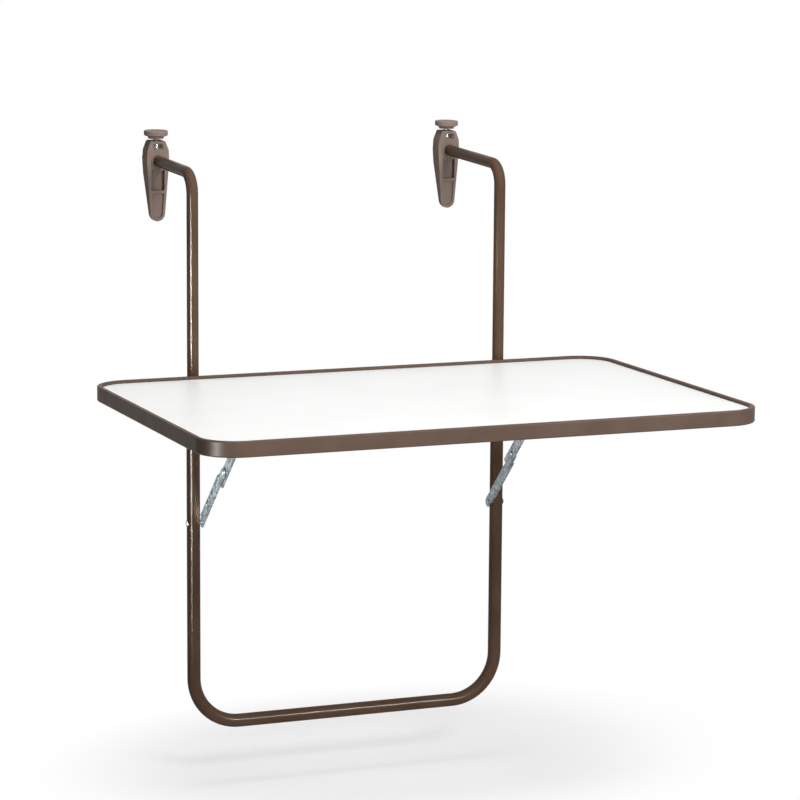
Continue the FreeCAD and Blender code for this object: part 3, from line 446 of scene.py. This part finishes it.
def make_screws():
    """The rail screws with domed heads and cross recesses, which stand for plain ones."""
    pieces = []
    for low, high in solids_of("rail_screws"):
        radius = (high.x - low.x) / 2
        middle = Vector(((low.x + high.x) / 2, (low.y + high.y) / 2, low.z))
        head = radius * SCREW_HEAD
        rim = head * SCREW_RIM
        rows = [circle(radius * SCREW_SHANK, high.z - low.z, SCREW_SIDES),
                circle(radius * SCREW_SHANK, head, SCREW_SIDES),
                circle(radius, head, SCREW_SIDES), circle(radius, rim, SCREW_SIDES)]
        for step in range(1, DOME_ROWS):
            share = 1 - step / DOME_ROWS
            dome = rim * share ** DOME_POWER
            ring = []
            for point in circle(radius * share, 0, SCREW_SIDES):
                sunk = cross_depth(point.x, point.y, radius * CROSS_REACH, radius * CROSS_WIDTH,
                                   head * CROSS_DEPTH)
                ring.append(Vector((point.x, point.y, dome + sunk)))
            rows.append(ring)
        screw = ring_mesh("screw", rows)
        screw.matrix_world = Matrix.Translation(middle)
        pieces.append(screw)
    screws = join_pieces("pan_head_screws", pieces)
    finish_piece(screws, "table_top", "zinc", SCREW_SMOOTH_ANGLE)
    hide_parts("rail_screws")


def weld_bead(name, joint_radius, place):
    """A rippled bead where a round piece meets the leg, from a function of the angle."""
    steps = BEAD_RIPPLES * BEAD_ROWS_PER_RIPPLE
    rows = []
    for step in range(steps):
        angle = 2 * math.pi * step / steps
        centre, outward, along = place(angle, joint_radius)
        ripple = abs(math.sin(angle * BEAD_RIPPLES / 2))
        size = BEAD_RADIUS * (1 - BEAD_RIPPLE_DEPTH + BEAD_RIPPLE_DEPTH * ripple)
        rows.append([centre + (outward * math.cos(turn) + along * math.sin(turn)) * size
                     for turn in (2 * math.pi * index / BEAD_SIDES for index in range(BEAD_SIDES))])
    finish_piece(ring_mesh(name, rows, looped=True), "frame", "frame_brown")


def make_welds():
    """The beads that hold the hinge studs and the clamp bosses to the legs."""
    for side in SIDES:
        inward = 1 if side == "left" else -1
        leg_x = centre_of("clamp_boss_" + side).x
        stud_height = centre_of("hinge_stud_" + side).z
        boss_low, boss_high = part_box("clamp_boss_" + side)
        boss_radius = (boss_high.x - boss_low.x) / 2
        stud_low, stud_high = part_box("hinge_stud_" + side)
        stud_radius = (stud_high.z - stud_low.z) / 2

        def on_stud(angle, radius):
            back, up = radius * math.cos(angle), radius * math.sin(angle)
            reach = math.sqrt(LEG_RADIUS ** 2 - back ** 2)
            centre = Vector((leg_x + inward * reach, back, stud_height + up))
            return centre, Vector((0, math.cos(angle), math.sin(angle))), Vector((inward, 0, 0))

        def on_boss(angle, radius):
            across, up = radius * math.cos(angle), radius * math.sin(angle)
            reach = math.sqrt(LEG_RADIUS ** 2 - across ** 2)
            centre = Vector((leg_x + across, reach, (boss_low.z + boss_high.z) / 2 + up))
            return centre, Vector((math.cos(angle), 0, math.sin(angle))), Vector((0, 1, 0))

        weld_bead("stud_weld_" + side, stud_radius, on_stud)
        weld_bead("boss_weld_" + side, boss_radius, on_boss)


# Floor, light and camera

def mixed(tree, factor, first, second):
    """The shader that goes from the first to the second with the factor."""
    mix = tree.nodes.new("ShaderNodeMixShader")
    for socket, source in zip(mix.inputs, (factor, first, second)):
        tree.links.new(source, socket)
    return mix.outputs[0]


def make_floor():
    """A pale floor that the camera sees as white, and that keeps the table's shadow."""
    level = cad_box[0].z - FLOOR_DROP
    bpy.ops.mesh.primitive_plane_add(size=FLOOR_SIZE, location=(0, 0, level))
    floor = bpy.context.object
    floor.name = "studio_floor"
    material, tree, plain = new_material("studio_floor")
    plain.inputs["Base Color"].default_value = FLOOR_COLOUR
    plain.inputs["Roughness"].default_value = FLOOR_ROUGHNESS
    plain.inputs["Specular IOR Level"].default_value = 0
    glow = tree.nodes.new("ShaderNodeEmission")
    glow.inputs["Strength"].default_value = FLOOR_GLOW
    shaded = tree.nodes.new("ShaderNodeBsdfDiffuse")
    shaded.inputs["Color"].default_value = (FLOOR_SHADOW_SHARE,) * 3 + (1,)
    seen = tree.nodes.new("ShaderNodeAddShader")
    tree.links.new(glow.outputs[0], seen.inputs[0])
    tree.links.new(shaded.outputs[0], seen.inputs[1])
    white = tree.nodes.new("ShaderNodeEmission")
    faded = mixed(tree, away_from_table(tree), seen.outputs[0], white.outputs[0])
    from_above = mixed(tree, seen_directly(tree), plain.outputs[0], faded)
    gap = tree.nodes.new("ShaderNodeBsdfTransparent")
    whole = mixed(tree, seen_from_below(tree), from_above, gap.outputs[0])
    tree.links.new(whole, tree.nodes["Material Output"].inputs["Surface"])
    floor.data.materials.append(material)


def away_from_table(tree):
    """0 on the floor under the table, rising to 1 beyond the reach of its shadow."""
    places = tree.nodes.new("ShaderNodeTexCoord")
    offset = tree.nodes.new("ShaderNodeVectorMath")
    offset.operation = "SUBTRACT"
    offset.inputs[1].default_value = SHADOW_CENTRE
    tree.links.new(places.outputs["Object"], offset.inputs[0])
    share = tree.nodes.new("ShaderNodeVectorMath")
    share.operation = "DIVIDE"
    share.inputs[1].default_value = SHADOW_HALF
    tree.links.new(offset.outputs[0], share.inputs[0])
    length = tree.nodes.new("ShaderNodeVectorMath")
    length.operation = "LENGTH"
    tree.links.new(share.outputs[0], length.inputs[0])
    fade = tree.nodes.new("ShaderNodeMapRange")
    fade.interpolation_type = "SMOOTHSTEP"
    fade.inputs["From Min"].default_value, fade.inputs["From Max"].default_value = SHADOW_FADE
    tree.links.new(length.outputs["Value"], fade.inputs["Value"])
    return fade.outputs["Result"]


def seen_from_below(tree):
    """1 where the camera looks up through the floor, which is open from there."""
    both = tree.nodes.new("ShaderNodeMath")
    both.operation = "MULTIPLY"
    tree.links.new(tree.nodes.new("ShaderNodeNewGeometry").outputs["Backfacing"], both.inputs[0])
    tree.links.new(tree.nodes.new("ShaderNodeLightPath").outputs["Is Camera Ray"], both.inputs[1])
    return both.outputs[0]


def seen_directly(tree):
    """1 for what the camera, a reflection or a transmission sees, and 0 for light."""
    path = tree.nodes.new("ShaderNodeLightPath")
    total = path.outputs["Is Camera Ray"]
    for name in ("Is Glossy Ray", "Is Transmission Ray"):
        larger = tree.nodes.new("ShaderNodeMath")
        larger.operation = "MAXIMUM"
        tree.links.new(total, larger.inputs[0])
        tree.links.new(path.outputs[name], larger.inputs[1])
        total = larger.outputs[0]
    return total


def make_world():
    """A white background over a dimmer, even light."""
    world = bpy.data.worlds.new("studio")
    bpy.context.scene.world = world
    world.use_nodes = True
    tree = world.node_tree
    light = tree.nodes["Background"]
    light.inputs["Color"].default_value = WHITE
    light.inputs["Strength"].default_value = WORLD_LIGHT
    white = tree.nodes.new("ShaderNodeBackground")
    white.inputs["Color"].default_value = WHITE
    white.inputs["Strength"].default_value = 1
    both = mixed(tree, seen_directly(tree), light.outputs[0], white.outputs[0])
    tree.links.new(both, tree.nodes["World Output"].inputs["Surface"])


def area_light(name, place, target, width, height, power):
    data = bpy.data.lights.new(name, "AREA")
    data.shape = "RECTANGLE"
    data.size = width
    data.size_y = height
    data.energy = power
    lamp = bpy.data.objects.new(name, data)
    bpy.context.scene.collection.objects.link(lamp)
    lamp.location = place
    lamp.rotation_euler = (Vector(target) - Vector(place)).to_track_quat("-Z", "Y").to_euler()
    return lamp


def make_lights():
    """Softboxes overhead, in front, low and behind, with narrow strips for the gloss."""
    for row in SOFTBOXES:
        area_light(*row)
    area_light(*REAR_SOFTBOX).visible_glossy = False
    for *row, spread_angle in REFLECTED:
        lamp = area_light(*row)
        lamp.data.spread = math.radians(spread_angle)
        lamp.visible_diffuse = False
        lamp.visible_camera = False


def make_camera():
    ahead = Vector((
        math.sin(CAMERA_YAW) * math.cos(CAMERA_PITCH),
        math.cos(CAMERA_YAW) * math.cos(CAMERA_PITCH),
        math.sin(CAMERA_PITCH),
    ))
    right = Vector((math.cos(CAMERA_YAW), -math.sin(CAMERA_YAW), 0))
    up = right.cross(ahead)
    rolled_right = right * math.cos(CAMERA_ROLL) + up * math.sin(CAMERA_ROLL)
    rolled_up = up * math.cos(CAMERA_ROLL) - right * math.sin(CAMERA_ROLL)
    data = bpy.data.cameras.new("camera")
    data.sensor_width = SENSOR
    data.lens = SENSOR * FOCAL_PIXELS / IMAGE_PIXELS
    camera = bpy.data.objects.new("camera", data)
    bpy.context.scene.collection.objects.link(camera)
    turn = Matrix((rolled_right, rolled_up, -ahead)).transposed().to_4x4()
    camera.matrix_world = Matrix.Translation(CAMERA_PLACE) @ turn
    bpy.context.scene.camera = camera


dress_nodes()
make_threads()
make_nuts()
make_screws()
make_welds()
make_floor()
make_world()
make_lights()
make_camera()
bpy.context.scene.view_settings.view_transform = "Standard"
